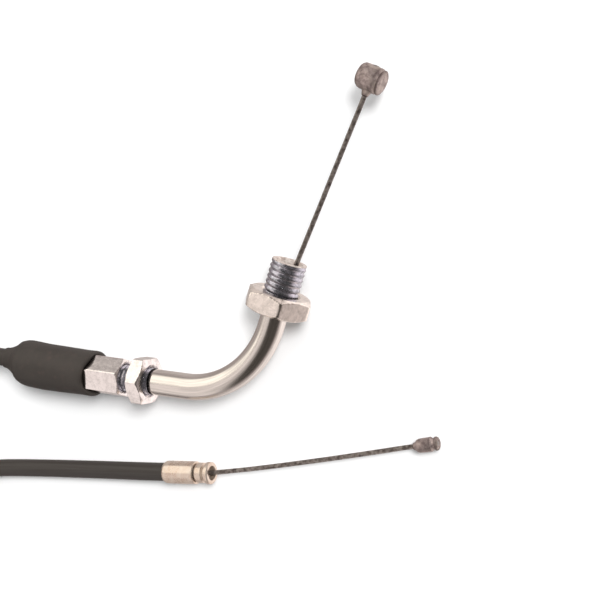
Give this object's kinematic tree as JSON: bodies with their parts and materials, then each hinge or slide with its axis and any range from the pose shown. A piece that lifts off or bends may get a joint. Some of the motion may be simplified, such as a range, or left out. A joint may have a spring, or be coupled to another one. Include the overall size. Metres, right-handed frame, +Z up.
{
  "type": "motorcycle throttle cable",
  "caption": "Throttle cable with a bent grip-end pipe, lock nuts, adjuster and rubber boot, sheathed casing, crimped ferrule, and stranded inner wire with a nipple at each end",
  "frame": {"origin": "on the table under the middle of the cable's two ends' common box, without the casing's free length and its coil", "axes": "+Z up from the table, +X the way both ends of the cable point, +Y from the carburettor end towards the grip end"},
  "size_m": [0.2353, 0.1342, 0.017],
  "materials": {
    "bright_zinc": "bright zinc plate, smooth and mirror-like",
    "blue_zinc": "bluish zinc on rolled threads",
    "die_cast": "dull die-cast zinc, slightly mottled",
    "tinted_brass": "pale plated brass, satin",
    "solder": "dull solder",
    "wire_steel": "stranded steel wire, lightly oiled",
    "boot_rubber": "matte charcoal rubber",
    "tie_rubber": "matte black rubber band",
    "casing_jacket": "satin charcoal plastic sheath with faint lengthwise streaks",
    "liner_nylon": "milky nylon"
  },
  "bodies": {
    "casing": {"adjuster_sleeve": "bright_zinc", "casing_end_cap": "tinted_brass", "casing_lead_in": "casing_jacket", "casing_coil": "casing_jacket", "casing_lead_out": "casing_jacket", "coil_tie_1": "tie_rubber", "coil_tie_2": "tie_rubber", "coil_tie_3": "tie_rubber", "end_ferrule": "tinted_brass", "ferrule_tip": "tinted_brass", "liner_in_ferrule": "liner_nylon", "inner_wire_in_ferrule": "wire_steel"},
    "elbow": {"elbow_pipe": "bright_zinc", "threaded_end": "blue_zinc", "adjuster_screw": "blue_zinc", "elbow_liner": "liner_nylon", "inner_wire_in_elbow": "wire_steel"},
    "grip_nut": {"grip_lock_nut": "bright_zinc"},
    "lock_nut": {"adjuster_lock_nut": "bright_zinc"},
    "boot": {"rubber_boot": "boot_rubber"},
    "grip_wire": {"pull_wire": "wire_steel", "barrel_nipple": "die_cast", "barrel_solder": "solder"},
    "carb_end": {"carb_wire": "wire_steel", "carb_nipple": "die_cast", "carb_nipple_solder": "solder"}
  },
  "joints": [
    {"name": "adjuster_travel", "type": "slide", "parent": "casing", "child": "elbow", "axis": [0.9962, -0.0872, 0], "range_m": [-0.0025, 0.006]},
    {"name": "grip_nut_spin", "type": "hinge", "parent": "elbow", "child": "grip_nut", "pos_m": [0.02462, -0.01054, 0.0085], "axis": [0.342, 0.9397, 0], "continuous": true},
    {"name": "lock_nut_spin", "type": "hinge", "parent": "elbow", "child": "lock_nut", "pos_m": [-0.00341, -0.0284, 0.0085], "axis": [0.9962, -0.0872, 0], "continuous": true},
    {"name": "boot_slide", "type": "slide", "parent": "casing", "child": "boot", "axis": [-0.9962, 0.0872, 0], "range_m": [0, 0.016]},
    {"name": "throttle_pull", "type": "slide", "parent": "elbow", "child": "grip_wire", "axis": [0.4415, 0.8973, 0], "range_m": [0, 0.024]},
    {"name": "carb_draw", "type": "slide", "parent": "casing", "child": "carb_end", "axis": [-0.985, -0.1711, 0.0214], "range_m": [0, 0.024], "deforming": ["carb_wire"]}
  ],
  "couplings": [
    {"joint": "carb_draw", "follows": "throttle_pull", "ratio": 1}
  ]
}
